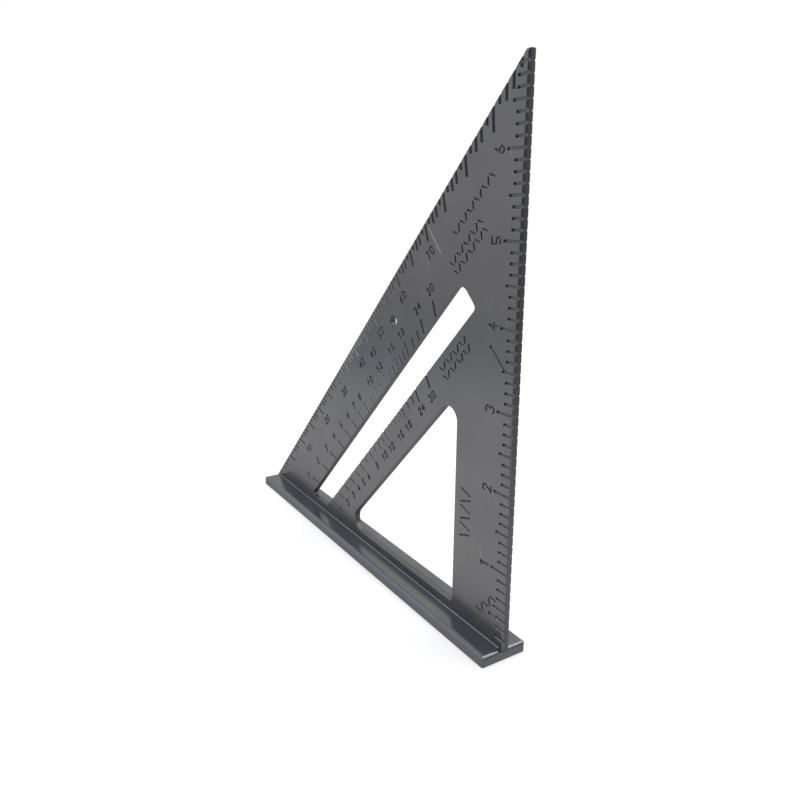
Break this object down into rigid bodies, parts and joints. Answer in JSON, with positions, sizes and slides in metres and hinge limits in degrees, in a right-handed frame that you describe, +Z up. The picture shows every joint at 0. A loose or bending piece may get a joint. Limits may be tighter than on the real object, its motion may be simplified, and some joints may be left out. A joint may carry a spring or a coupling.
{
  "type": "rafter square",
  "caption": "Triangular marking square: a thin graduated right-angled blade with a slot and a triangular opening stands on a flat bar fence.",
  "frame": {"origin": "middle of the fence's underside, at the centre of the overall box", "axes": "+Z up along the ruled edge, X along the fence with the pivot corner at +X, +Y away from the fully marked face"},
  "size_m": [0.179, 0.0182, 0.1818],
  "materials": {
    "blade_metal": "dark grey satin aluminium with a fine grain and brightened edges",
    "fence_metal": "dark grey satin aluminium, polished brighter along its rounded edges",
    "bead_metal": "smooth dark grey aluminium"
  },
  "bodies": {
    "root": {"blade": "blade_metal", "fence": "fence_metal", "near_foot_bead": "bead_metal", "far_foot_bead": "bead_metal"}
  },
  "joints": []
}
